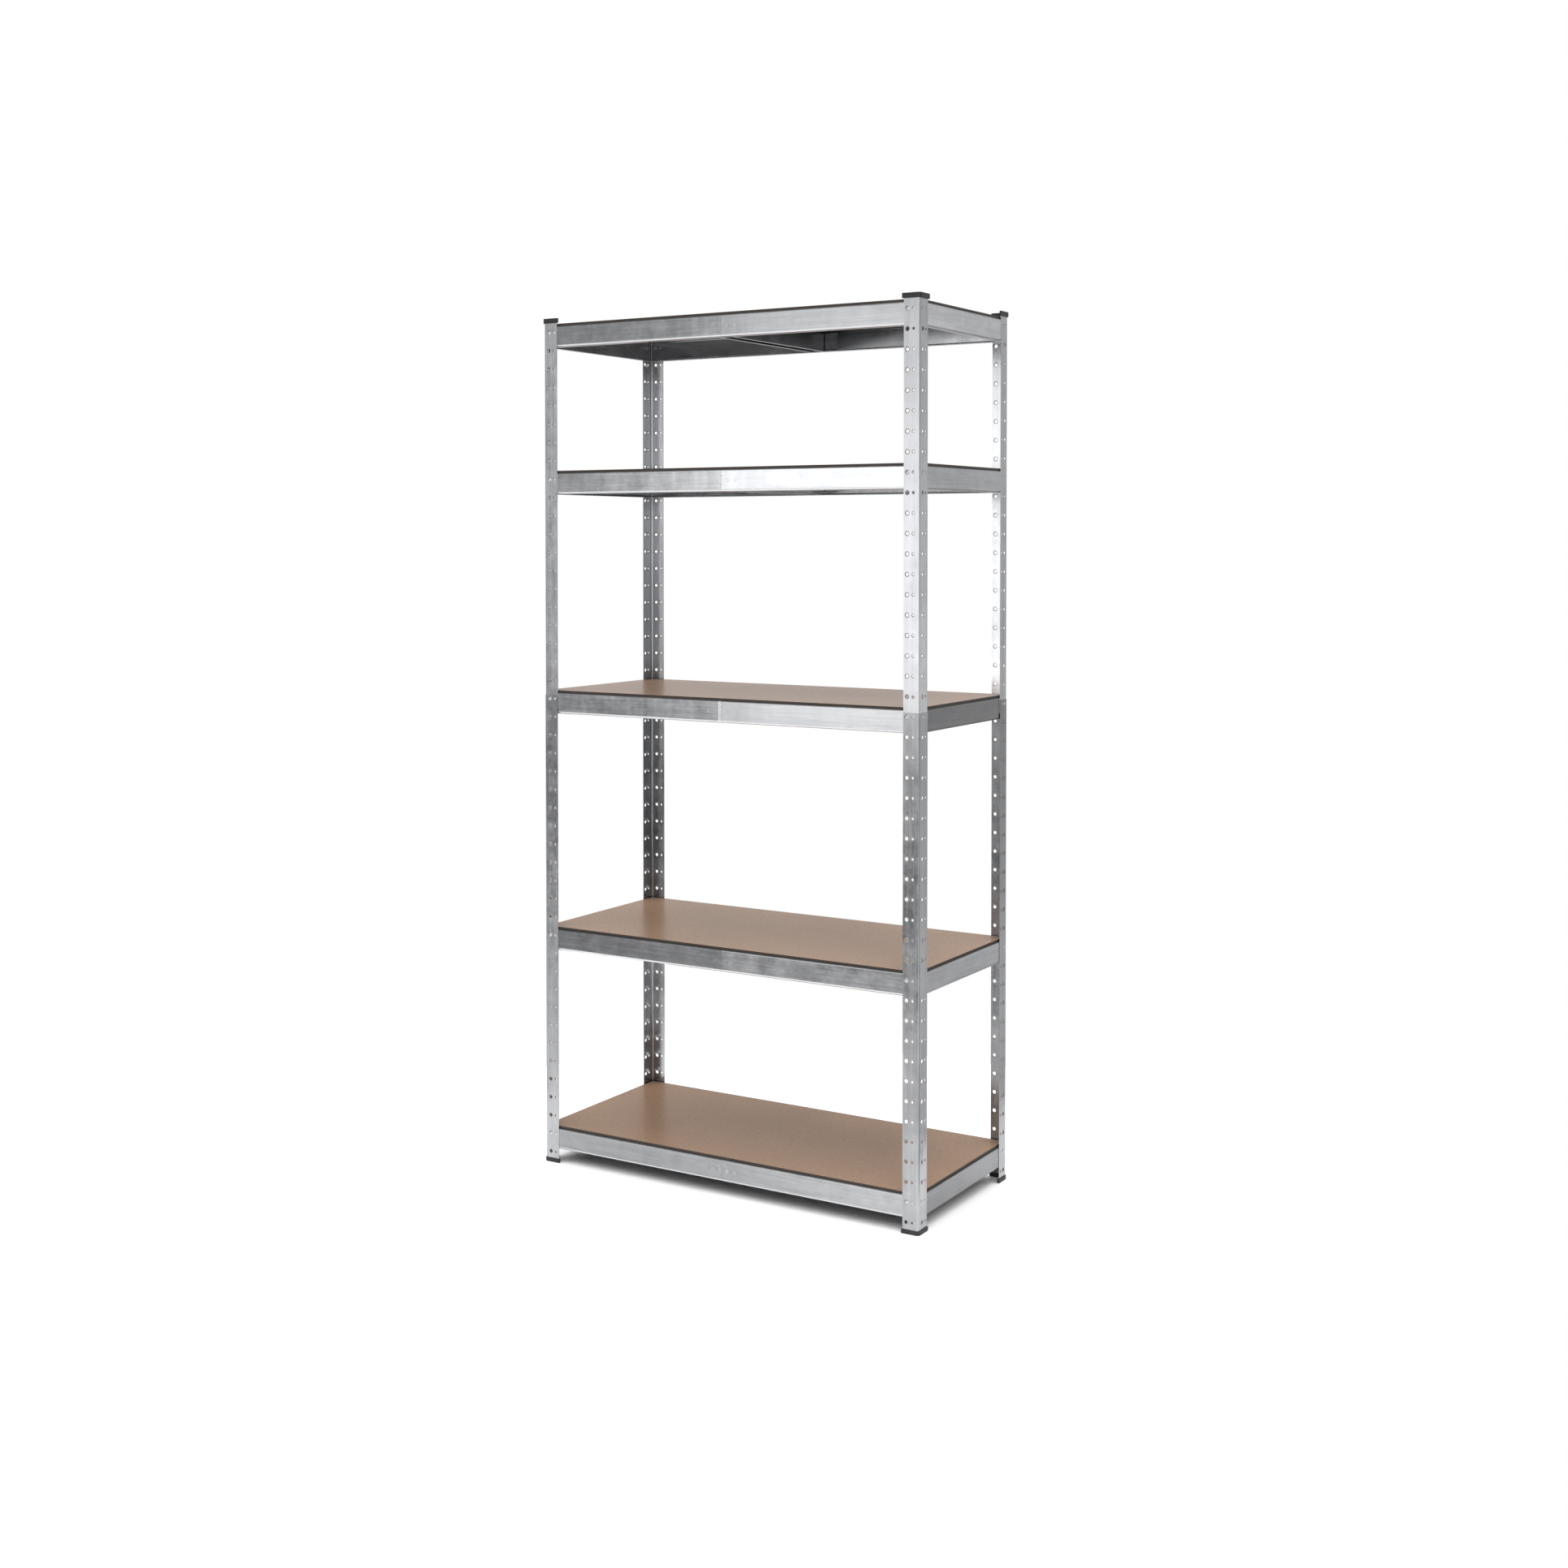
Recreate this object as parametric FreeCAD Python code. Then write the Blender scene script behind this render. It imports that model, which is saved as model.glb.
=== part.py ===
import FreeCAD, Part
import math
import os

# Boltless steel shelving: four spliced angle posts, five levels of folded steel beams and five
# loose boards. Millimetres. Origin on the floor under the middle of the rack, +Z up, front at -Y.

# overall size over the posts
rack_width = 900.0
rack_depth = 400.0
rack_height = 1800.0

# angle posts, each in two halves; the upper half nests inside the top of the lower one
post_flange = 35.0
post_sheet = 0.8
post_bend_radius = 5.0
post_nest_inset = 0.9
lower_post_top = 1005.5
upper_post_bottom = 978.0

# the holes in each post flange: a wide one and a narrow one side by side, one pair per row
near_column = 14.0
far_column = 27.0
first_hole_row = 22.5
hole_pitch = 39.0
hole_rows = 46
splice_row = 25

# levels, given as the hole row that the beam studs use, from the bottom up
level_rows = (1, 12, 25, 37, 45)

# folded beams
beam_height = 45.0
beam_sheet = 0.8
beam_stud_height = 32.0
beam_top_flange = 12.0
beam_bottom_flange = 14.0
beam_top_radius = 2.5
beam_bottom_radius = 5.0
long_beam_half = 444.0
side_beam_half = 194.0
side_flange_half = 184.0
seam_gap = 0.15
seam_notch_radius = 1.6
seam_notch_heights = (14.0, 32.0)

# joiner plate behind the seam of each long beam
joiner_half_length = 45.0
joiner_height = 34.0
joiner_sheet = 1.0
joiner_bottom = 6.5
joiner_rivet_height = 23.0
joiner_rivet_places = (-32.0, -13.0, 13.0, 32.0)

# brace from the front beam to the rear beam, under the middle of each board
brace_width = 26.0
brace_lip = 6.0
brace_sheet = 0.8
brace_end_half = 193.0
brace_top_half = 185.0

# boards
board_thickness = 5.0
board_gap_to_corner = 3.8
board_edge_round = 0.4

# studs: the wide holes take the load studs, the narrow ones a locating pin
wide = {"hole": 3.5, "shank": 3.0, "head": 4.2, "head_height": 1.5, "tail": 3.9}
narrow = {"hole": 2.2, "shank": 1.8, "head": 2.9, "head_height": 1.1, "tail": 2.6}
wide_far = ((far_column, wide), (near_column, narrow))
wide_near = ((near_column, wide), (far_column, narrow))
tail_height = 1.0
stud_fit = 0.1

# thin flat rivets that hold the joiner plates
rivet_radius = 3.0
rivet_head_radius = 4.2
rivet_head_height = 0.3
rivet_tail_radius = 3.9

# moulded feet and caps
sole_thickness = 3.0
foot_height = 8.0
foot_wall = 1.8
cap_plate = 7.0
cap_skirt_outside = 10.0
cap_skirt_inside = 9.0
cap_wall = 2.7
cap_inner_wall = 0.8
moulding_gap = 0.1

front = -1
rear = 1
left = -1
right = 1
corner_names = {(left, front): "front_left", (right, front): "front_right",
                (left, rear): "rear_left", (right, rear): "rear_right"}


def point(x, y, z):
    return FreeCAD.Vector(x, y, z)


def row_height(row):
    return first_hole_row + row * hole_pitch


def beam_bottom(row):
    return row_height(row) - beam_stud_height


def post_outside(row):
    # how far the outermost post sheet stands in from the overall size at this row
    return post_nest_inset if row > splice_row else 0.0


def post_inside(row):
    # how far in the beams bear: on the lower post below the splice, on the nested post from it up
    return post_sheet + (post_nest_inset if row >= splice_row else 0.0)


def long_flange_columns(side_x):
    # hole columns of the flange that faces the front or the rear
    return wide_far if side_x == right else wide_near


def side_flange_columns(side_x):
    return wide_near if side_x == right else wide_far


def place_at_corner(shape, side_x, side_y):
    # the shape is drawn with the outer corner of the post at the origin and its legs along +X, +Y
    placed = shape.copy()
    if side_x == right:
        placed = placed.mirror(point(0, 0, 0), point(1, 0, 0))
    if side_y == rear:
        placed = placed.mirror(point(0, 0, 0), point(0, 1, 0))
    placed.translate(point(side_x * rack_width / 2, side_y * rack_depth / 2, 0))
    return placed


def angle_face(outer, sheet, flange, radius, z):
    # an L outline: outer faces at x = outer and y = outer, bent corner, legs out to the flange
    bend = outer + radius
    inner = outer + sheet
    bow_out = bend - radius * math.sqrt(0.5)
    inner_radius = radius - sheet
    bow_in = bend - inner_radius * math.sqrt(0.5)
    edges = [
        Part.makeLine(point(flange, outer, z), point(bend, outer, z)),
        Part.Arc(point(bend, outer, z), point(bow_out, bow_out, z), point(outer, bend, z)).toShape(),
        Part.makeLine(point(outer, bend, z), point(outer, flange, z)),
        Part.makeLine(point(outer, flange, z), point(inner, flange, z)),
        Part.makeLine(point(inner, flange, z), point(inner, bend, z)),
        Part.Arc(point(inner, bend, z), point(bow_in, bow_in, z), point(bend, inner, z)).toShape(),
        Part.makeLine(point(bend, inner, z), point(flange, inner, z)),
        Part.makeLine(point(flange, inner, z), point(flange, outer, z)),
    ]
    return Part.Face(Part.Wire(edges))


def post_half(side_x, inset, z_low, z_high, first_row, last_row):
    profile = angle_face(inset, post_sheet, post_flange, post_bend_radius - inset, z_low)
    post = profile.extrude(point(0, 0, z_high - z_low))
    drills = []
    for row in range(first_row, last_row + 1):
        z = row_height(row)
        for column, size in long_flange_columns(side_x):
            drills.append(Part.makeCylinder(size["hole"], 4, point(column, inset - 1, z), point(0, 1, 0)))
        for column, size in side_flange_columns(side_x):
            drills.append(Part.makeCylinder(size["hole"], 4, point(inset - 1, column, z), point(1, 0, 0)))
    return post.cut(Part.makeCompound(drills))


def moulded_angle(inset, wall, inner_wall, z_low, plate, skirt_outside, skirt_inside, upward):
    # an L-shaped cup for a post end: a plate across the end, walls outside and inside the sheet
    reach = post_flange + wall + moulding_gap
    outer = inset - wall - moulding_gap
    inner_face = inset + post_sheet + inner_wall + moulding_gap
    outer_radius = post_bend_radius - inset + wall + moulding_gap
    body_sheet = inner_face - outer
    tall = angle_face(outer, body_sheet, reach, outer_radius, 0)
    cup = tall.extrude(point(0, 0, skirt_outside))
    pocket_outer = inset - moulding_gap
    pocket_sheet = post_sheet + 2 * moulding_gap
    pocket_radius = post_bend_radius - inset + moulding_gap
    pocket = angle_face(pocket_outer, pocket_sheet, post_flange + moulding_gap, pocket_radius, plate)
    cup = cup.cut(pocket.extrude(point(0, 0, skirt_outside)))
    edge = inset + post_sheet
    relief = Part.makeBox(reach, reach, skirt_outside, point(edge, edge, skirt_inside))
    cup = cup.cut(relief)
    if not upward:
        cup = cup.mirror(point(0, 0, 0), point(0, 0, 1))
    cup.translate(point(0, 0, z_low))
    return cup


def soften(shape, radius, keep):
    edges = [edge for edge in shape.Edges if keep(edge)]
    return shape.makeFillet(radius, edges)


def foot():
    cup = moulded_angle(0.0, foot_wall, foot_wall, 0.0, sole_thickness, foot_height, foot_height, True)
    return soften(cup, 0.5, lambda edge: edge.BoundBox.ZMax < 0.001)


def cap():
    top = rack_height + cap_plate
    cup = moulded_angle(post_nest_inset, cap_wall, cap_inner_wall, top, cap_plate,
                        cap_skirt_outside, cap_skirt_inside, False)
    return soften(cup, 0.9, lambda edge: edge.BoundBox.ZMin > top - 0.001)


def channel_face(x, top_flange):
    # beam section in the Y-Z plane: web face at y = 0, both flanges turned inwards along +Y
    top = beam_height
    sheet = beam_sheet
    half = math.sqrt(0.5)
    high = beam_top_radius
    low = beam_bottom_radius
    corners = [
        Part.makeLine(point(x, top_flange, top), point(x, high, top)),
        Part.Arc(point(x, high, top), point(x, high - high * half, top - high + high * half),
                 point(x, 0, top - high)).toShape(),
        Part.makeLine(point(x, 0, top - high), point(x, 0, low)),
        Part.Arc(point(x, 0, low), point(x, low - low * half, low - low * half),
                 point(x, low, 0)).toShape(),
        Part.makeLine(point(x, low, 0), point(x, beam_bottom_flange, 0)),
        Part.makeLine(point(x, beam_bottom_flange, 0), point(x, beam_bottom_flange, sheet)),
        Part.makeLine(point(x, beam_bottom_flange, sheet), point(x, low, sheet)),
        Part.Arc(point(x, low, sheet),
                 point(x, low - (low - sheet) * half, low - (low - sheet) * half),
                 point(x, sheet, low)).toShape(),
        Part.makeLine(point(x, sheet, low), point(x, sheet, top - high)),
        Part.Arc(point(x, sheet, top - high),
                 point(x, high - (high - sheet) * half, top - high + (high - sheet) * half),
                 point(x, high, top - sheet)).toShape(),
        Part.makeLine(point(x, high, top - sheet), point(x, top_flange, top - sheet)),
        Part.makeLine(point(x, top_flange, top - sheet), point(x, top_flange, top)),
    ]
    return Part.Face(Part.Wire(corners))


def drill_web(beam, holes, height):
    drills = []
    for place, radius in holes:
        drills.append(Part.makeCylinder(radius, 3, point(place, -1, height), point(0, 1, 0)))
    return beam.cut(Part.makeCompound(drills))


def long_beam_half_shape(side_x):
    # half of a front beam drawn as the right-hand one, seam at x = 0, web face at y = 0
    beam = channel_face(seam_gap, beam_top_flange).extrude(point(long_beam_half - seam_gap, 0, 0))
    stud_holes = []
    for column, size in long_flange_columns(side_x):
        stud_holes.append((rack_width / 2 - column, size["shank"] + stud_fit))
    beam = drill_web(beam, stud_holes, beam_stud_height)
    rivet_holes = []
    for place in joiner_rivet_places:
        if place > 0:
            rivet_holes.append((place, rivet_radius + stud_fit))
    beam = drill_web(beam, rivet_holes, joiner_rivet_height)
    for height in seam_notch_heights:
        beam = drill_web(beam, [(0.0, seam_notch_radius)], height)
    return beam


def side_beam_shape(side_x):
    # side beam drawn along X with its web face at y = 0; only the web runs to the ends
    beam = channel_face(-side_beam_half, beam_top_flange).extrude(point(2 * side_beam_half, 0, 0))
    for side in (left, right):
        low = min(side * side_flange_half, side * (side_beam_half + 1))
        width = side_beam_half + 1 - side_flange_half
        beam = beam.cut(Part.makeBox(width, 40, 8, point(low, beam_sheet, -1)))
        beam = beam.cut(Part.makeBox(width, 40, 8, point(low, beam_sheet, beam_height - 4)))
        beam = beam.cut(Part.makeBox(width, 40, beam_bottom_radius + 1, point(low, -1, -1)))
        beam = beam.cut(Part.makeBox(width, 40, beam_top_radius + 1,
                                     point(low, -1, beam_height - beam_top_radius)))
    stud_holes = []
    for column, size in side_flange_columns(side_x):
        stud_holes.append((rack_depth / 2 - column, size["shank"] + stud_fit))
        stud_holes.append((column - rack_depth / 2, size["shank"] + stud_fit))
    return drill_web(beam, stud_holes, beam_stud_height)


def joiner_shape():
    plate = Part.makeBox(2 * joiner_half_length, joiner_sheet, joiner_height,
                         point(-joiner_half_length, beam_sheet, joiner_bottom))
    drills = []
    for place in joiner_rivet_places:
        drills.append(Part.makeCylinder(rivet_radius + stud_fit, 4, point(place, -1, joiner_rivet_height),
                                        point(0, 1, 0)))
    return plate.cut(Part.makeCompound(drills))


def stud_shape(size, grip):
    # shank along +Y from the outer face at y = 0, domed head outside, flat tail inside
    rise = size["head_height"]
    dome_radius = (size["head"] ** 2 + rise ** 2) / (2 * rise)
    dome = Part.makeSphere(dome_radius, point(0, dome_radius - rise, 0))
    dome = dome.common(Part.makeBox(20, 10, 20, point(-10, -10, -10)))
    shank = Part.makeCylinder(size["shank"], grip, point(0, 0, 0), point(0, 1, 0))
    tail = Part.makeCylinder(size["tail"], tail_height, point(0, grip, 0), point(0, 1, 0))
    return dome.fuse([shank, tail])


def rivet_shape():
    # drawn like a stud, through the beam web and the joiner plate
    grip = beam_sheet + joiner_sheet
    rise = rivet_head_height
    head = Part.makeCylinder(rivet_head_radius, rise, point(0, -rise, 0), point(0, 1, 0))
    shank = Part.makeCylinder(rivet_radius, grip, point(0, 0, 0), point(0, 1, 0))
    tail = Part.makeCylinder(rivet_tail_radius, tail_height, point(0, grip, 0), point(0, 1, 0))
    return head.fuse([shank, tail])


def brace_shape():
    # inverted channel along Y with outward lips; its top plate stops short of the beam flanges
    half = brace_width / 2
    bottom = beam_sheet + 0.1
    top = beam_height
    webs = []
    for side in (left, right):
        low = min(side * half, side * (half - brace_sheet))
        webs.append(Part.makeBox(brace_sheet, 2 * brace_end_half, top - 1.0 - bottom,
                                 point(low, -brace_end_half, bottom)))
        webs.append(Part.makeBox(brace_sheet, 2 * brace_top_half, top - bottom,
                                 point(low, -brace_top_half, bottom)))
        low = min(side * (half - brace_sheet), side * (half + brace_lip))
        webs.append(Part.makeBox(brace_lip + brace_sheet, 2 * brace_end_half, brace_sheet,
                                 point(low, -brace_end_half, bottom)))
    plate = Part.makeBox(brace_width, 2 * brace_top_half, brace_sheet,
                         point(-half, -brace_top_half, top - brace_sheet))
    return plate.fuse(webs).removeSplitter()


def board_shape():
    half_x = rack_width / 2 - board_gap_to_corner
    half_y = rack_depth / 2 - board_gap_to_corner
    board = Part.makeBox(2 * half_x, 2 * half_y, board_thickness, point(-half_x, -half_y, 0))
    return board.makeFillet(board_edge_round, board.Edges)


def turned(shape, degrees):
    copy = shape.copy()
    copy.rotate(point(0, 0, 0), point(0, 0, 1), degrees)
    return copy


def moved(shape, x, y, z):
    copy = shape.copy()
    copy.translate(point(x, y, z))
    return copy


parts = {}

lower_half = {}
upper_half = {}
for side_x in (left, right):
    lower_half[side_x] = post_half(side_x, 0.0, sole_thickness, lower_post_top, 0, splice_row)
    upper_half[side_x] = post_half(side_x, post_nest_inset, upper_post_bottom, rack_height,
                                   splice_row, hole_rows - 1)
foot_cup = foot()
cap_cup = cap()
for (side_x, side_y), corner in corner_names.items():
    parts[corner + "_lower_post"] = place_at_corner(lower_half[side_x], side_x, side_y)
    parts[corner + "_upper_post"] = place_at_corner(upper_half[side_x], side_x, side_y)
    parts[corner + "_foot"] = place_at_corner(foot_cup, side_x, side_y)
    parts[corner + "_cap"] = place_at_corner(cap_cup, side_x, side_y)

half_for_right = long_beam_half_shape(right)
half_for_left = long_beam_half_shape(left)
side_beams = {left: side_beam_shape(left), right: side_beam_shape(right)}
joiner = joiner_shape()
brace = brace_shape()
board = board_shape()
rivet = rivet_shape()
joiners = []
studs = []
rivets = []

for level, row in enumerate(level_rows):
    name = "level_" + str(level + 1)
    bottom = beam_bottom(row)
    z_stud = row_height(row)
    grip = post_inside(row) - post_outside(row) + beam_sheet
    face_x = rack_width / 2 - post_inside(row)
    face_y = rack_depth / 2 - post_inside(row)
    head_x = rack_width / 2 - post_outside(row)
    head_y = rack_depth / 2 - post_outside(row)

    # long beams: the rear pair mirrors the front pair
    for side_y, where, angle in ((front, "front", 0), (rear, "rear", 180)):
        half_left = half_for_left.mirror(point(0, 0, 0), point(1, 0, 0))
        half_right = half_for_right
        if side_y == rear:
            half_left = half_left.mirror(point(0, 0, 0), point(0, 1, 0))
            half_right = half_right.mirror(point(0, 0, 0), point(0, 1, 0))
        parts[name + "_" + where + "_beam_left"] = moved(half_left, 0, side_y * face_y, bottom)
        parts[name + "_" + where + "_beam_right"] = moved(half_right, 0, side_y * face_y, bottom)
        joiners.append(moved(turned(joiner, angle), 0, side_y * face_y, bottom))
        for place in joiner_rivet_places:
            rivets.append(moved(turned(rivet, angle), place, side_y * face_y,
                                bottom + joiner_rivet_height))
        for side_x in (left, right):
            for column, size in long_flange_columns(side_x):
                x = side_x * (rack_width / 2 - column)
                studs.append(moved(turned(stud_shape(size, grip), angle), x, side_y * head_y, z_stud))

    # side beams
    for side_x, where, angle in ((left, "left", -90), (right, "right", 90)):
        side_beam = turned(side_beams[side_x], angle)
        parts[name + "_" + where + "_side_beam"] = moved(side_beam, side_x * face_x, 0, bottom)
        for side_y in (front, rear):
            for column, size in side_flange_columns(side_x):
                y = side_y * (rack_depth / 2 - column)
                studs.append(moved(turned(stud_shape(size, grip), angle), side_x * head_x, y, z_stud))

    parts[name + "_centre_brace"] = moved(brace, 0, 0, bottom)
    parts[name + "_board"] = moved(board, 0, 0, bottom + beam_height)

parts["beam_joiners"] = Part.makeCompound(joiners)
parts["beam_studs"] = Part.makeCompound(studs)
parts["joiner_rivets"] = Part.makeCompound(rivets)

os.makedirs("parts", exist_ok=True)
for name, shape in parts.items():
    shape.exportStep("parts/" + name + ".step")
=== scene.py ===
import math

import bmesh
import bpy
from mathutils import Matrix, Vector


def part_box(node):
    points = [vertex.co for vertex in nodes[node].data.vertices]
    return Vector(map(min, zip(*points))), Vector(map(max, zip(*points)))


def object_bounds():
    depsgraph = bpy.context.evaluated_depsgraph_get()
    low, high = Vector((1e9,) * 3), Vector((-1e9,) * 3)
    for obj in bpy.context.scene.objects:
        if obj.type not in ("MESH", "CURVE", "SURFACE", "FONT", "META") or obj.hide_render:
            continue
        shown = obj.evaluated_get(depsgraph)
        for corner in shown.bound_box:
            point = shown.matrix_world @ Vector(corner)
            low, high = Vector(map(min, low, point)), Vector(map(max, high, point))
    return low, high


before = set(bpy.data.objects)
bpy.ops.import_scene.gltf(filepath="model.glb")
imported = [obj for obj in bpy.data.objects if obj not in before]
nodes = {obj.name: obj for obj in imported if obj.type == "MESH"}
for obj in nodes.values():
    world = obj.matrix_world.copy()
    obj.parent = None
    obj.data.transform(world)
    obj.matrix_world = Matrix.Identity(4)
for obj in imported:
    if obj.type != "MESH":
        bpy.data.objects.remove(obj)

cad_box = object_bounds()

LEVELS = (1, 2, 3, 4, 5)
CORNERS = ("front_left", "front_right", "rear_left", "rear_right")

# the hole pattern of the posts, in metres
COLUMNS_MIDDLE_X = 0.4295       # from the middle of the rack to midway between the two columns
COLUMNS_MIDDLE_Y = 0.1795
COLUMN_OFFSET = 0.0065          # from there to either column
FIRST_ROW = 0.0225
HALF_PITCH = 0.0195
NARROW_RING = 0.0025            # from the middle of a hole to where its pressed ring starts
WIDE_RING = 0.0038
RING_WIDTH = 0.0013
NARROW_RING_DEPTH = 0.55        # narrow holes leave a fainter ring

BEAM_BAND = 0.05                # half height of the band round one level's rivets
RIVET_HEIGHT = 0.023            # rivets above the bottom edge of a beam

ZINC_DARK = (0.335, 0.340, 0.352)
ZINC_LIGHT = (0.515, 0.519, 0.531)
# painted highlights beside the beam seams and along the bottom bends, and painted shade in the rings round
# the holes
SEAM_HIGHLIGHT_COLOUR = (0.86, 0.87, 0.89)
LIP_HIGHLIGHT_COLOUR = (0.84, 0.85, 0.87)
RING_SHADE_COLOUR = (0.04, 0.04, 0.043)
PLATE_DARK = (0.42, 0.42, 0.44)
PLATE_LIGHT = (0.60, 0.60, 0.62)
FACE_DARK = (0.236, 0.133, 0.073)
FACE_LIGHT = (0.288, 0.169, 0.098)
EDGE_DARK = (0.030, 0.026, 0.024)
EDGE_LIGHT = (0.075, 0.062, 0.053)
BACK_DARK = (0.150, 0.150, 0.152)
BACK_LIGHT = (0.205, 0.204, 0.204)
BLACK = (0.010, 0.010, 0.011)
BLACK_RUBBED = (0.030, 0.030, 0.032)
FLOOR_DARK = (0.90, 0.90, 0.90)
FLOOR_LIGHT = (0.93, 0.93, 0.93)
WHITE = (1.0, 1.0, 1.0)

# how fine each texture is, in features to the metre
SPANGLE = 120.0
STREAKS = 260.0
BROAD_STREAKS = 75.0
CLOUD = 7.0
SMEAR = 30.0
WAVES = 15.0

# how deep each texture stands, in metres
WAVE_DEPTH = 0.0018
SPANGLE_DEPTH = 0.00025
STREAK_DEPTH = 0.00012
RING_DEPTH = 0.0005
PIT_DEPTH = 0.0002
WARP_DEPTH = 0.002
FIBRE_DEPTH = 0.0001
GRAIN_DEPTH = 0.00015


# ---------------------------------------------------------------- node helpers

def new_material(name):
    material = bpy.data.materials.new(name)
    material.use_nodes = True
    return material


class Tree:
    """A short way to add nodes and links to one material."""

    def __init__(self, material):
        self.tree = material.node_tree
        self.shader = self.tree.nodes["Principled BSDF"]

    def add(self, kind):
        return self.tree.nodes.new("ShaderNode" + kind)

    def link(self, source, target):
        self.tree.links.new(source, target)

    def axes(self, vector):
        """The X, Y and Z of a vector, by name."""
        split = self.add("SeparateXYZ")
        self.link(vector, split.inputs[0])
        return split.outputs

    def place(self):
        return self.axes(self.add("TexCoord").outputs["Object"])

    def facing(self):
        return self.axes(self.add("NewGeometry").outputs["Normal"])

    def coords(self, scale=(1, 1, 1), offset=(0, 0, 0)):
        source = self.add("TexCoord")
        mapping = self.add("Mapping")
        mapping.inputs["Scale"].default_value = scale
        mapping.inputs["Location"].default_value = offset
        self.link(source.outputs["Object"], mapping.inputs["Vector"])
        return mapping.outputs["Vector"]

    def noise(self, vector, scale, detail=3.0, roughness=0.55):
        node = self.add("TexNoise")
        node.inputs["Scale"].default_value = scale
        node.inputs["Detail"].default_value = detail
        node.inputs["Roughness"].default_value = roughness
        self.link(vector, node.inputs["Vector"])
        return node.outputs["Fac"]

    def cells(self, vector, scale):
        node = self.add("TexVoronoi")
        node.inputs["Scale"].default_value = scale
        self.link(vector, node.inputs["Vector"])
        split = self.add("SeparateColor")
        self.link(node.outputs["Color"], split.inputs["Color"])
        return split.outputs[0]

    def math(self, operation, first, second=0.0, third=0.0):
        node = self.add("Math")
        node.operation = operation
        for index, value in enumerate((first, second, third)):
            if isinstance(value, (int, float)):
                node.inputs[index].default_value = value
            else:
                self.link(value, node.inputs[index])
        return node.outputs[0]

    def scale_to(self, value, low, high, source_low=0.0, source_high=1.0):
        node = self.add("MapRange")
        node.inputs["From Min"].default_value = source_low
        node.inputs["From Max"].default_value = source_high
        node.inputs["To Min"].default_value = low
        node.inputs["To Max"].default_value = high
        self.link(value, node.inputs["Value"])
        return node.outputs["Result"]

    def mix(self, factor, first, second):
        node = self.add("Mix")
        node.data_type = "RGBA"
        sockets = [s for s in node.inputs if s.type == "RGBA"]
        for socket, value in zip(sockets, (first, second)):
            if isinstance(value, tuple):
                socket.default_value = (*value, 1.0)
            else:
                self.link(value, socket)
        if isinstance(factor, (int, float)):
            node.inputs["Factor"].default_value = factor
        else:
            self.link(factor, node.inputs["Factor"])
        return [s for s in node.outputs if s.type == "RGBA"][0]

    def multiply(self, first, second):
        node = self.add("VectorMath")
        node.operation = "MULTIPLY"
        self.link(first, node.inputs[0])
        self.link(second, node.inputs[1])
        return node.outputs[0]

    def tilted(self, normal, lean):
        """The shading normal leaned over in X and Z."""
        tilt = self.add("VectorMath")
        tilt.operation = "ADD"
        tilt.inputs[1].default_value = (lean[0], 0.0, lean[1])
        self.link(normal, tilt.inputs[0])
        unit = self.add("VectorMath")
        unit.operation = "NORMALIZE"
        self.link(tilt.outputs[0], unit.inputs[0])
        return unit.outputs[0]

    def bump(self, height, strength, distance, before=None):
        node = self.add("Bump")
        node.inputs["Strength"].default_value = strength
        node.inputs["Distance"].default_value = distance
        self.link(height, node.inputs["Height"])
        if before is not None:
            self.link(before, node.inputs["Normal"])
        return node.outputs["Normal"]


# ---------------------------------------------------------------- materials

def punched_rings(t):
    """1 at the edge of each hole of a post, fading to 0 across the pressed ring round it.

    Each flange has one column of wide holes and one of narrow ones. On the right posts the wide column
    is the one away from the corner on the front and rear flanges, and the one by the corner on the side
    flanges. The left posts have them the other way round."""
    spot = t.place()
    to_right = t.math("SIGN", spot["X"])
    across = t.math("SUBTRACT", t.math("ABSOLUTE", spot["X"]), COLUMNS_MIDDLE_X)
    across = t.math("MULTIPLY", across, t.math("MULTIPLY", to_right, -1.0))
    along = t.math("SUBTRACT", t.math("ABSOLUTE", spot["Y"]), COLUMNS_MIDDLE_Y)
    along = t.math("MULTIPLY", along, to_right)
    on_front = t.math("GREATER_THAN", t.math("ABSOLUTE", t.facing()["Y"]), 0.7)
    side = t.math("ADD", t.math("MULTIPLY", across, on_front),
                  t.math("MULTIPLY", along, t.math("SUBTRACT", 1.0, on_front)))
    is_wide = t.math("GREATER_THAN", side, 0.0)
    radius = t.scale_to(is_wide, NARROW_RING, WIDE_RING)
    from_column = t.math("SUBTRACT", t.math("ABSOLUTE", side), COLUMN_OFFSET)
    row = t.math("WRAP", t.math("SUBTRACT", spot["Z"], FIRST_ROW), HALF_PITCH, -HALF_PITCH)
    reach = t.math("SQRT", t.math("ADD", t.math("POWER", from_column, 2.0), t.math("POWER", row, 2.0)))
    ring = t.scale_to(t.math("SUBTRACT", reach, radius), 1.0, 0.0, 0.0, RING_WIDTH)
    return t.math("MULTIPLY", ring, t.scale_to(is_wide, NARROW_RING_DEPTH, 1.0))


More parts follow.
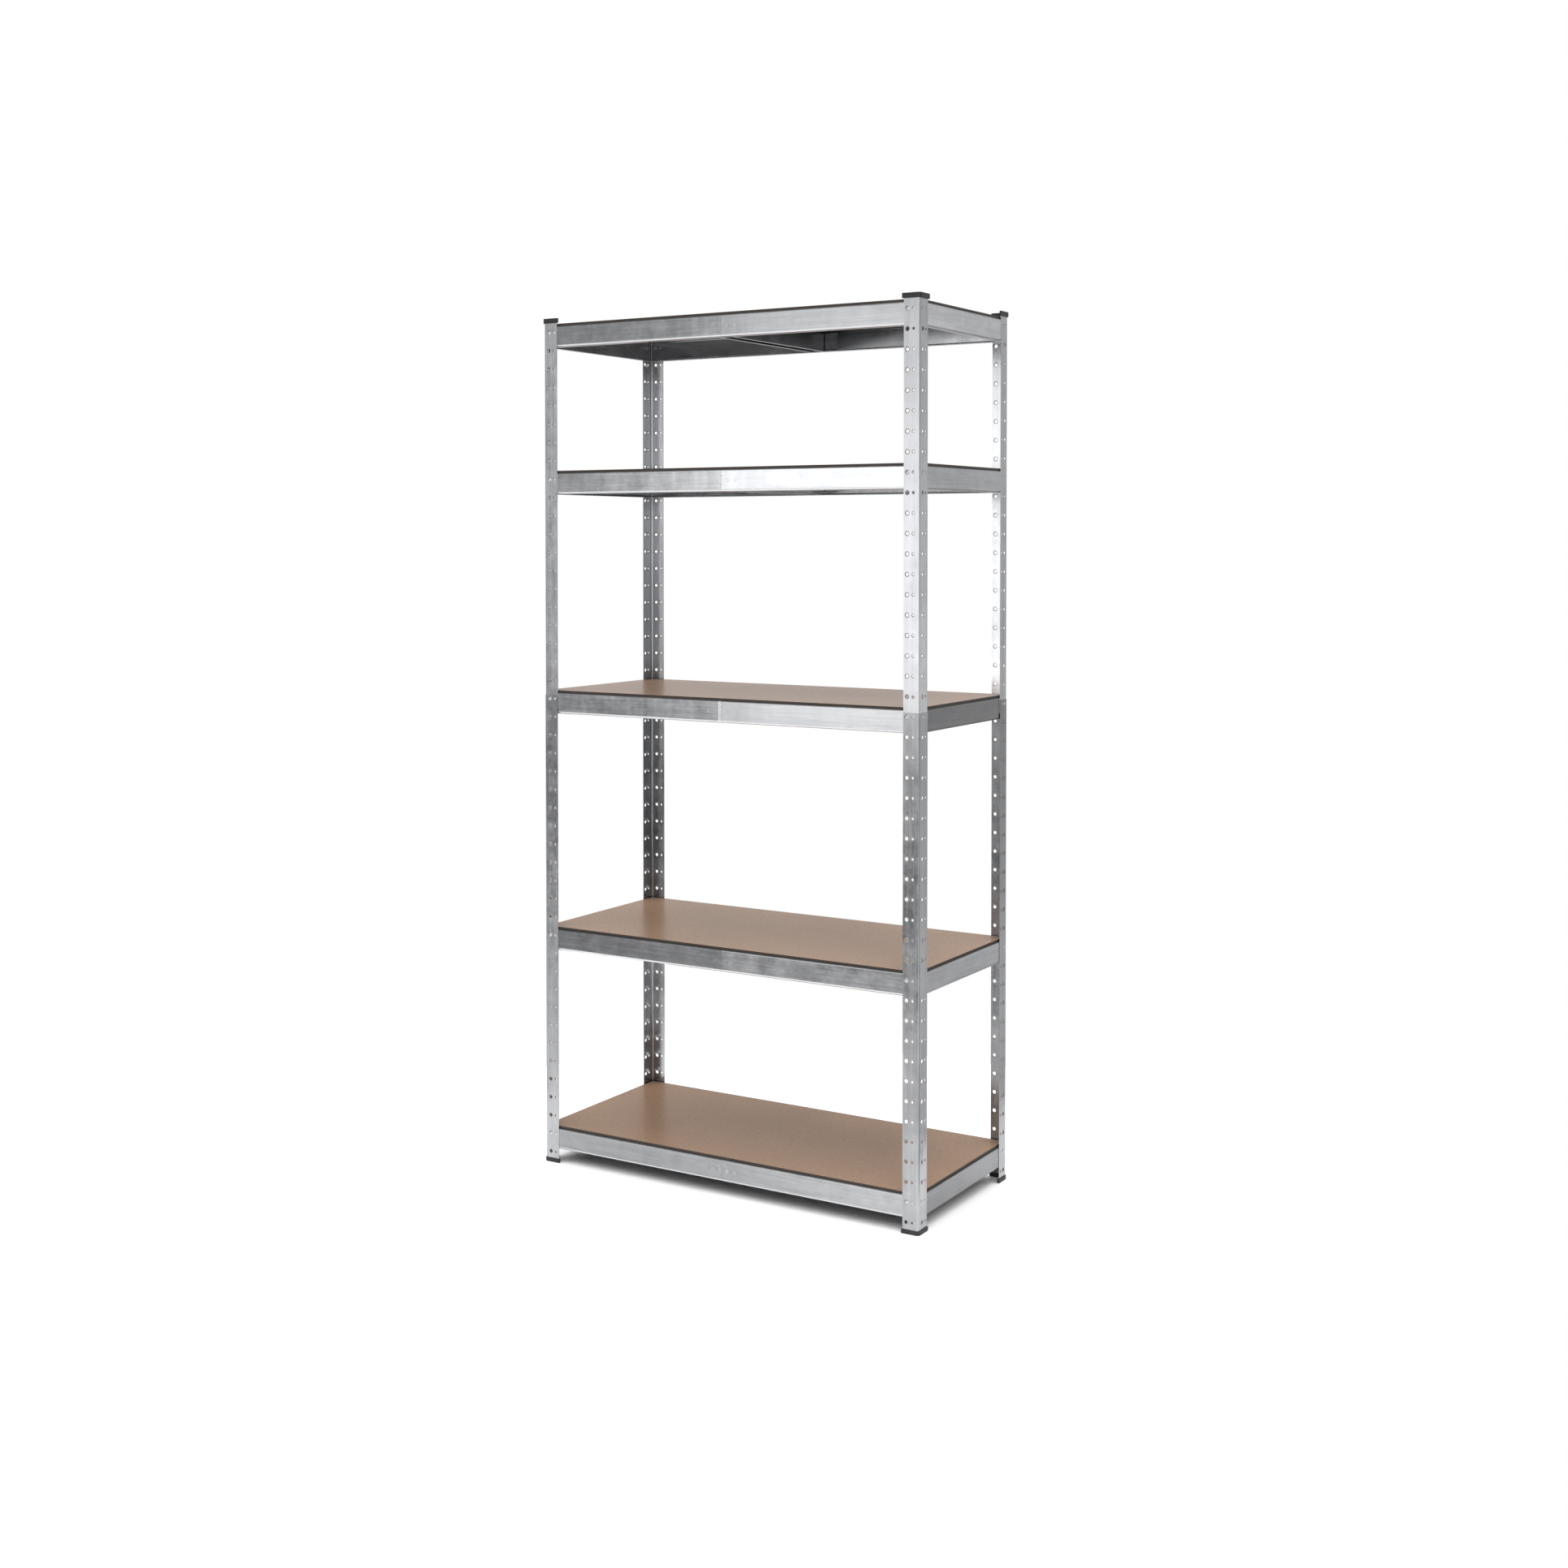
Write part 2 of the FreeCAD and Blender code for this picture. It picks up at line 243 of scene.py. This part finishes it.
def galvanised_steel(name, along, tone=1.0, seed=0.0, wave=1.0, lean=(0.0, 0.0), holes=0.0, lip=None,
                     fade=None, highlight_span=None, bands=(), forward_only=False):
    """Galvanised sheet: rolling streaks, soft waves in the sheet, faint spangle, painted highlight on the
    bottom bend.

    along is the axis that the sheet was rolled along, wave the depth of its waves, and lean how far its
    shading normal leans in X and Z. holes is how dark the painted shade is in the rings round punched
    holes, and lip the height of the bottom edge that takes a painted highlight. fade is (place, tone,
    place, tone) where the tone changes along the sheet, and forward_only keeps it to the faces that look
    forwards. highlight_span is the span along X that takes a painted highlight beside a seam, and bands
    is one (z, left tone, right tone) per level."""
    material = new_material(name)
    t = Tree(material)
    stretch = {"x": (0.035, 1, 1), "y": (1, 0.035, 1), "z": (1, 1, 0.035)}[along]
    band = {"x": (1.0, 1.0, 0.18), "y": (1.0, 1.0, 0.18), "z": (1.0, 1.0, 0.45)}[along]
    place = t.coords(offset=(seed, seed * 0.7, seed * 1.3))
    streak_place = t.coords(scale=stretch, offset=(seed, seed, seed))
    spangle = t.cells(place, SPANGLE)
    cloud = t.noise(place, CLOUD)
    smear = t.noise(place, SMEAR, 4.0)
    streaks = t.noise(streak_place, STREAKS, 4.0, 0.6)
    broad = t.noise(streak_place, BROAD_STREAKS, 2.0)
    tint = t.scale_to(cloud, 0.94, 1.06, 0.3, 0.7)
    tint = t.math("MULTIPLY", tint, t.scale_to(streaks, 0.90, 1.08, 0.3, 0.7))
    tint = t.math("MULTIPLY", tint, t.scale_to(broad, 0.95, 1.05, 0.3, 0.7))
    tint = t.math("MULTIPLY", tint, t.scale_to(spangle, 0.975, 1.025))
    tint = t.math("MULTIPLY", tint, t.scale_to(smear, 0.93, 1.06, 0.3, 0.7))
    dark = tuple(channel * tone for channel in ZINC_DARK)
    light = tuple(channel * tone for channel in ZINC_LIGHT)
    base = t.mix(t.scale_to(tint, 0.0, 1.0, 0.80, 1.18), dark, light)
    # the fade stands partly for the zinc and partly for painted reflection and painted shade
    if fade is not None:
        start, first, stop, last = fade
        amount = t.scale_to(t.place()[along.upper()], 0.0, 1.0, start, stop)
        zinc_and_painted_light = t.mix(amount, (first,) * 3, (last,) * 3)
        if forward_only:
            zinc_and_painted_light = t.mix(t.math("LESS_THAN", t.facing()["Y"], -0.3), WHITE, zinc_and_painted_light)
        base = t.multiply(base, zinc_and_painted_light)
    if bands:
        spot = t.place()
    for height, to_left, to_right in bands:
        off = t.math("ABSOLUTE", t.math("SUBTRACT", spot["Z"], height))
        side = t.mix(t.math("GREATER_THAN", spot["X"], 0.0), (to_left,) * 3, (to_right,) * 3)
        base = t.mix(t.math("LESS_THAN", off, BEAM_BAND), base, t.multiply(base, side))
    # painted highlight on a strip beside the seam
    if highlight_span is not None:
        spot = t.place()
        inside = t.math("MULTIPLY", t.math("GREATER_THAN", spot["X"], highlight_span[0]),
                        t.math("LESS_THAN", spot["X"], highlight_span[1]))
        base = t.mix(t.math("MULTIPLY", inside, 0.8), base, SEAM_HIGHLIGHT_COLOUR)
    rough = t.scale_to(smear, 0.15, 0.24, 0.3, 0.7)
    rough = t.math("ADD", rough, t.scale_to(spangle, -0.015, 0.015))
    rough = t.math("ADD", rough, t.scale_to(streaks, -0.02, 0.03, 0.3, 0.7))
    waves = t.noise(t.coords(scale=band, offset=(seed, 0, seed)), WAVES, 2.0)
    normal = t.bump(waves, 0.5 * wave, WAVE_DEPTH)
    normal = t.bump(spangle, 0.04, SPANGLE_DEPTH, normal)
    normal = t.bump(streaks, 0.10, STREAK_DEPTH, normal)
    if lip is not None:
        # painted highlight along the bottom bend, which is also made rougher
        bend_highlight = t.scale_to(t.place()["Z"], 1.0, 0.0, lip + 0.0035, lip + 0.0055)
        base = t.mix(t.math("MULTIPLY", bend_highlight, 0.75), base, LIP_HIGHLIGHT_COLOUR)
        rough = t.math("ADD", rough, t.math("MULTIPLY", bend_highlight, 0.16))
    # painted shade in the pressed ring round each hole; the ring is also made rougher and bumped
    if holes:
        ring = punched_rings(t)
        base = t.mix(t.math("MULTIPLY", ring, holes), base, RING_SHADE_COLOUR)
        rough = t.math("ADD", rough, t.math("MULTIPLY", ring, 0.25))
        normal = t.bump(ring, 0.35, RING_DEPTH, normal)
    if lean != (0.0, 0.0):
        normal = t.tilted(normal, lean)
    t.link(base, t.shader.inputs["Base Color"])
    t.link(rough, t.shader.inputs["Roughness"])
    t.link(normal, t.shader.inputs["Normal"])
    t.shader.inputs["Metallic"].default_value = 1.0
    return material


def plated_steel(name):
    """Bright zinc plate on the studs: small pits and handling marks."""
    material = new_material(name)
    t = Tree(material)
    place = t.coords()
    pits = t.noise(place, 900.0, 4.0)
    marks = t.noise(place, 160.0, 5.0, 0.7)
    base = t.mix(t.scale_to(marks, 0.0, 1.0, 0.35, 0.65), PLATE_DARK, PLATE_LIGHT)
    t.link(base, t.shader.inputs["Base Color"])
    t.link(t.scale_to(marks, 0.26, 0.42, 0.3, 0.7), t.shader.inputs["Roughness"])
    t.shader.inputs["Metallic"].default_value = 1.0
    t.link(t.bump(pits, 0.12, PIT_DEPTH), t.shader.inputs["Normal"])
    return material


def fibreboard(name, seed=0.0):
    """Smooth-faced brown fibreboard: fine fibre mottle, satin face, grey back, near-black edges."""
    material = new_material(name)
    t = Tree(material)
    place = t.coords(offset=(seed, seed * 0.6, 0.0))
    fibres_place = t.coords(scale=(1.0, 2.6, 1.0), offset=(seed, seed, 0.0))
    cloud = t.noise(place, 4.5, 3.0)
    mottle = t.noise(fibres_place, 120.0, 6.0, 0.7)
    fibre = t.noise(fibres_place, 620.0, 4.0, 0.65)
    amount = t.math("MULTIPLY_ADD", t.scale_to(mottle, 0.0, 1.0, 0.25, 0.75), 0.35,
                    t.math("MULTIPLY", t.scale_to(fibre, 0.0, 1.0, 0.3, 0.7), 0.2))
    amount = t.math("ADD", amount, t.scale_to(cloud, 0.0, 0.45, 0.35, 0.65))
    face = t.mix(amount, FACE_DARK, FACE_LIGHT)
    layers_place = t.coords(scale=(1.0, 1.0, 9.0), offset=(seed, 0.0, 0.0))
    layers = t.noise(layers_place, 260.0, 4.0, 0.7)
    edge = t.mix(t.scale_to(layers, 0.0, 1.0, 0.35, 0.65), EDGE_DARK, EDGE_LIGHT)
    upwards = t.facing()["Z"]
    on_edge = t.scale_to(t.math("ABSOLUTE", upwards), 1.0, 0.0, 0.35, 0.85)
    under = t.math("LESS_THAN", upwards, -0.5)
    back = t.mix(t.scale_to(mottle, 0.0, 1.0, 0.3, 0.7), BACK_DARK, BACK_LIGHT)
    face = t.mix(under, face, back)
    t.link(t.mix(on_edge, face, edge), t.shader.inputs["Base Color"])
    rough = t.scale_to(mottle, 0.25, 0.34, 0.3, 0.7)
    rough = t.math("ADD", rough, t.math("MULTIPLY", on_edge, 0.35))
    t.link(rough, t.shader.inputs["Roughness"])
    t.shader.inputs["Specular IOR Level"].default_value = 0.34
    normal = t.bump(t.noise(place, 11.0, 2.0), 0.12, WARP_DEPTH)
    normal = t.bump(fibre, 0.08, FIBRE_DEPTH, normal)
    t.link(normal, t.shader.inputs["Normal"])
    return material


def moulded_plastic(name):
    """Black moulded plastic: fine spark-eroded grain, rubbed a little paler in patches."""
    material = new_material(name)
    t = Tree(material)
    place = t.coords()
    grain = t.noise(place, 1500.0, 3.0, 0.6)
    wear = t.noise(place, 70.0, 5.0, 0.7)
    base = t.mix(t.scale_to(wear, 0.0, 1.0, 0.45, 0.75), BLACK, BLACK_RUBBED)
    t.link(base, t.shader.inputs["Base Color"])
    t.link(t.scale_to(wear, 0.42, 0.62, 0.3, 0.7), t.shader.inputs["Roughness"])
    t.link(t.bump(grain, 0.25, GRAIN_DEPTH), t.shader.inputs["Normal"])
    return material


def give(name, material):
    node = nodes[name]
    if not node.material_slots:
        node.data.materials.append(material)
    for slot in node.material_slots:
        slot.material = material


# Tones and fades are set to the brightness measured on each post and beam in the photograph. They stand
# partly for the zinc and partly for painted reflection and painted shade, so some are too strong for another
# light.
# A tone is for a whole piece, by level where it has a table. A fade is (place, tone, place, tone), with
# the places in metres along a beam or up a post.
POST_TONE = {"front_left": 0.97, "front_right": 1.0, "rear_left": 0.82, "rear_right": 0.82}
POST_FADE = {
    "front_left_lower": (0.55, 1.04, 0.90, 0.74),
    "front_right_lower": (0.35, 0.94, 0.62, 0.74),
    "front_right_upper": (1.05, 1.20, 1.65, 0.84),
    "rear_left_lower": (0.44, 1.12, 0.62, 0.72),
    "rear_left_upper": (1.05, 0.84, 1.50, 1.06),
    "rear_right_lower": (0.35, 0.95, 0.85, 0.50),
    "rear_right_upper": (0.98, 2.05, 1.16, 1.42),
}
# the upper rear right post's forward face takes a fade that is painted reflection
FORWARD_ONLY_POST = "rear_right_upper"     # only its forward face takes the fade
# how strong the painted shade in the rings round the holes is, for each post half
RING_SHADE_AMOUNT = {"front_left_lower": 0.35, "front_left_upper": 0.45, "front_right_lower": 0.10,
        "front_right_upper": 0.60, "rear_left_lower": 0.60, "rear_left_upper": 0.60,
        "rear_right_lower": 0.30, "rear_right_upper": 0.25}
FRONT_LEFT_TONE = {1: 0.68, 2: 0.74, 3: 0.93, 4: 1.06, 5: 0.72}
FRONT_LEFT_FADE = {
    1: (-0.25, 1.0, -0.01, 1.18),
    2: (-0.25, 0.79, -0.06, 0.89),
    4: (-0.40, 0.76, -0.06, 1.24),
    5: (-0.10, 1.0, -0.01, 1.26),
}
FRONT_RIGHT_TONE = {1: 0.96, 2: 0.93, 3: 1.17, 4: 1.32, 5: 0.93}
FRONT_RIGHT_FADE = {
    1: (0.01, 0.84, 0.25, 1.04),
    3: (0.02, 0.90, 0.20, 1.06),
    5: (0.01, 0.80, 0.12, 0.98),
}
REAR_LEFT_TONE = 0.90
REAR_RIGHT_TONE = 1.05
# painted shade on the inner face of the top rear right beam, darkest near the middle of the rack
REAR_RIGHT_FADE = {5: (0.03, 0.16, 0.36, 0.95)}
SIDE_TONE = {1: 0.50, 2: 0.80, 3: 0.36, 4: 0.85, 5: 1.12}
BRACE_TONE = 1.0
JOINER_TONE = 0.92
# spans beside the seam that take a painted highlight, by level
SEAM_HIGHLIGHT_SPAN = {3: (-0.0085, -0.0005)}
# leans of the shading normal, which pick what a beam reflects; the sheet itself is straight
LEFT_LEAN = (-0.018, 0.0)
RIGHT_LEAN = (0.014, 0.0)
REAR_RIGHT_LEAN = (0.014, -0.09)
LOWER_WAVE = 1.5
SIDE_WAVE = 0.7
BEAM_BOTTOM = {level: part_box("level_%d_front_beam_left" % level)[0][2] for level in LEVELS}


def dress_posts():
    for index, corner in enumerate(CORNERS):
        for half, shift, wave in (("lower", 0.0, LOWER_WAVE), ("upper", 0.19, 1.0)):
            name = corner + "_" + half
            give(name + "_post",
                 galvanised_steel("steel_" + name, "z", POST_TONE[corner], 0.37 * index + shift, wave,
                                  holes=RING_SHADE_AMOUNT[name], fade=POST_FADE.get(name),
                                  forward_only=name == FORWARD_ONLY_POST))


def dress_level(level):
    start = "level_" + str(level)
    lip = BEAM_BOTTOM[level]
    seed = 0.61 * level
    give(start + "_front_beam_left",
         galvanised_steel(start + "_steel_front_left", "x", FRONT_LEFT_TONE[level], seed, lean=LEFT_LEAN,
                          lip=lip, highlight_span=SEAM_HIGHLIGHT_SPAN.get(level), fade=FRONT_LEFT_FADE.get(level)))
    give(start + "_front_beam_right",
         galvanised_steel(start + "_steel_front_right", "x", FRONT_RIGHT_TONE[level], seed + 5.0,
                          lean=RIGHT_LEAN, lip=lip, fade=FRONT_RIGHT_FADE.get(level)))
    give(start + "_rear_beam_left",
         galvanised_steel(start + "_steel_rear_left", "x", REAR_LEFT_TONE, seed + 2.0,
                          lean=LEFT_LEAN, lip=lip))
    give(start + "_rear_beam_right",
         galvanised_steel(start + "_steel_rear_right", "x", REAR_RIGHT_TONE, seed + 7.0,
                          lean=REAR_RIGHT_LEAN, lip=lip, fade=REAR_RIGHT_FADE.get(level),
                          forward_only=True))
    side_face = galvanised_steel(start + "_steel_side", "y", SIDE_TONE[level], seed + 9.0, SIDE_WAVE)
    for side in ("left", "right"):
        give(start + "_" + side + "_side_beam", side_face)
    give(start + "_centre_brace",
         galvanised_steel(start + "_steel_brace", "y", BRACE_TONE, seed + 13.0, SIDE_WAVE))
    give(start + "_board", fibreboard(start + "_fibreboard", 1.7 * level))


def dress_fittings():
    give("beam_joiners", galvanised_steel("steel_joiners", "x", JOINER_TONE, 21.0, 0.5))
    # a rivet head takes the tone of the beam that it sits on
    rivet_bands = [(BEAM_BOTTOM[level] + RIVET_HEIGHT, FRONT_LEFT_TONE[level], FRONT_RIGHT_TONE[level])
                   for level in LEVELS]
    give("joiner_rivets", galvanised_steel("steel_rivets", "x", 1.0, 27.0, 0.3, bands=rivet_bands))
    give("beam_studs", plated_steel("zinc_plated_steel"))
    black = moulded_plastic("black_moulded_plastic")
    for corner in CORNERS:
        give(corner + "_foot", black)
        give(corner + "_cap", black)


dress_posts()
for level in LEVELS:
    dress_level(level)
dress_fittings()


# ---------------------------------------------------------------- stage, light and camera

FLOOR_RADIUS = 1.0
FLOOR_RIGHT = 0.68              # the floor patch stops short of where its edge would show
FLOOR_FRONT = -0.7
FLOOR_GAP = 0.0002              # keeps the floor clear of the soles of the feet
SUN_STRENGTH = 1.0
SUN_SPREAD = 60.0
FRONT_BOX_POWER = 40.0
PANEL_GLOW = 1.8
SCRIM_GLOW = 1.9
SENSOR_WIDTH = 36.0
LENS = 45.29
SHIFT_Y = -0.1232
CAMERA_PLACE = (2.1665, -3.5489, 1.3357)
CAMERA_TURN = 31.07
CAMERA_TIP = 1.47

low, high = Vector(cad_box[0]), Vector(cad_box[1])
centre = (low + high) / 2


def pale_floor():
    mesh = bpy.data.meshes.new("studio_floor")
    grid = bmesh.new()
    bmesh.ops.create_circle(grid, cap_ends=True, segments=96, radius=FLOOR_RADIUS)
    for vertex in grid.verts:
        vertex.co.x = min(vertex.co.x, FLOOR_RIGHT)
        vertex.co.y = max(vertex.co.y, FLOOR_FRONT)
    grid.to_mesh(mesh)
    grid.free()
    floor = bpy.data.objects.new("studio_floor", mesh)
    floor.location = (centre.x, centre.y, low.z - FLOOR_GAP)
    bpy.context.scene.collection.objects.link(floor)
    material = new_material("pale_floor")
    t = Tree(material)
    place = t.coords()
    cloud = t.noise(place, 1.5, 3.0)
    t.link(t.mix(cloud, FLOOR_DARK, FLOOR_LIGHT), t.shader.inputs["Base Color"])
    t.shader.inputs["Roughness"].default_value = 0.8
    t.shader.inputs["Specular IOR Level"].default_value = 0.2
    mesh.materials.append(material)


class WorldTree(Tree):
    """The same short way, for the world."""

    def __init__(self, world):
        self.tree = world.node_tree

    def ramp(self, value, start, stop):
        """0 at start and 1 at stop, held beyond both, whichever of them is the greater."""
        if start < stop:
            return self.scale_to(value, 0.0, 1.0, start, stop)
        return self.scale_to(value, 1.0, 0.0, stop, start)


def studio_world():
    """Three surroundings in one: white for the camera, a room for reflections and a scrim for matt light."""
    world = bpy.data.worlds.new("studio")
    bpy.context.scene.world = world
    world.use_nodes = True
    world.node_tree.nodes.clear()
    t = WorldTree(world)
    direction = t.axes(t.add("TexCoord").outputs["Generated"])
    x, y, z = direction["X"], direction["Y"], direction["Z"]
    azimuth = t.math("ARCTAN2", t.math("MULTIPLY", x, -1.0), t.math("MULTIPLY", y, -1.0))
    azimuth = t.math("MULTIPLY", azimuth, 180.0 / math.pi)
    elevation = t.math("MULTIPLY", t.math("ARCSINE", z), 180.0 / math.pi)

    # what bright metal reflects: a bright backdrop low in front with its edge to the left
    wide = t.math("MULTIPLY", t.ramp(azimuth, 37.0, 31.0), t.ramp(azimuth, -62.0, -40.0))
    tall = t.math("MULTIPLY", t.ramp(elevation, -8.0, -4.0), t.scale_to(elevation, 1.0, 0.30, 2.0, 8.0))
    tall = t.math("MULTIPLY", tall, t.ramp(elevation, 40.0, 12.0))
    panel = t.math("MULTIPLY", t.math("MULTIPLY", wide, tall), PANEL_GLOW)
    # grey walls over a dim far floor, darker towards the ceiling and lighter behind the rack
    walls = t.scale_to(elevation, 0.22, 0.62, -7.0, -2.5)
    ceiling = t.scale_to(elevation, 0.0, -0.22, 8.0, 30.0)
    away = t.math("MULTIPLY", t.scale_to(y, 0.0, 0.25, 0.0, 0.6), t.ramp(elevation, 25.0, 6.0))
    # a pale strip of floor in the rear right corner, and the lit floor close in front
    corner = t.math("MULTIPLY", t.ramp(x, 0.0, 0.3), t.ramp(y, 0.2, 0.5))
    strip = t.math("SUBTRACT", t.scale_to(elevation, 0.43, 0.0, -6.0, -3.0),
                   t.scale_to(elevation, 0.22, 0.0, -17.0, -13.0))
    corner = t.math("MULTIPLY", corner, strip)
    near = t.math("MULTIPLY", t.ramp(t.math("DIVIDE", z, y), 0.256, 0.282), t.ramp(y, -0.05, -0.1))
    room = t.math("ADD", t.math("ADD", panel, walls), t.math("ADD", ceiling, away))
    room = t.math("ADD", room, t.math("ADD", corner, near))

    # matt surfaces are lit by a wide scrim overhead and a little from below, bright metal by the room
    scrim = t.math("ADD", t.scale_to(elevation, 0.0, SCRIM_GLOW, 18.0, 38.0),
                   t.scale_to(elevation, 0.6, 0.0, -12.0, -3.0))
    path = t.add("LightPath")
    matte = path.outputs["Is Diffuse Ray"]
    light = t.math("ADD", t.math("MULTIPLY", scrim, matte),
                   t.math("MULTIPLY", room, t.math("SUBTRACT", 1.0, matte)))
    lit = t.add("Background")
    seen = t.add("Background")
    for background in (lit, seen):
        background.inputs["Color"].default_value = (*WHITE, 1.0)
    seen.inputs["Strength"].default_value = 1.0
    t.link(light, lit.inputs["Strength"])
    blend = t.add("MixShader")
    t.link(path.outputs["Is Camera Ray"], blend.inputs[0])
    t.link(lit.outputs[0], blend.inputs[1])
    t.link(seen.outputs[0], blend.inputs[2])
    t.link(blend.outputs[0], t.add("OutputWorld").inputs["Surface"])


def soft_box(name, place, aim, width, height, power):
    light = bpy.data.lights.new(name, "AREA")
    light.shape = "RECTANGLE"
    light.size = width
    light.size_y = height
    light.energy = power
    lamp = bpy.data.objects.new(name, light)
    lamp.location = place
    direction = Vector(aim) - Vector(place)
    lamp.rotation_euler = direction.to_track_quat("-Z", "Y").to_euler()
    bpy.context.scene.collection.objects.link(lamp)


def overhead_scrim(strength, spread, place):
    light = bpy.data.lights.new("overhead_scrim", "SUN")
    light.energy = strength
    light.angle = math.radians(spread)
    lamp = bpy.data.objects.new("overhead_scrim", light)
    lamp.rotation_euler = Vector(place).to_track_quat("Z", "Y").to_euler()
    bpy.context.scene.collection.objects.link(lamp)


def photo_camera():
    """Chest high, in front and to the right, turned towards the rack and tipped slightly down."""
    data = bpy.data.cameras.new("photo_camera")
    data.sensor_width = SENSOR_WIDTH
    data.lens = LENS
    data.shift_y = SHIFT_Y
    data.clip_end = 100.0
    camera = bpy.data.objects.new("photo_camera", data)
    camera.location = CAMERA_PLACE
    camera.rotation_euler = (math.pi / 2 - math.radians(CAMERA_TIP), 0.0, math.radians(CAMERA_TURN))
    bpy.context.scene.collection.objects.link(camera)
    bpy.context.scene.camera = camera


pale_floor()
studio_world()
overhead_scrim(SUN_STRENGTH, SUN_SPREAD, (0.05, -0.05, 1.0))
soft_box("front_box", (2.6, -3.2, 4.2), (0.0, 0.0, 0.9), 2.4, 2.0, FRONT_BOX_POWER)
photo_camera()
bpy.context.scene.view_settings.view_transform = "Standard"

bpy.context.view_layer.update()
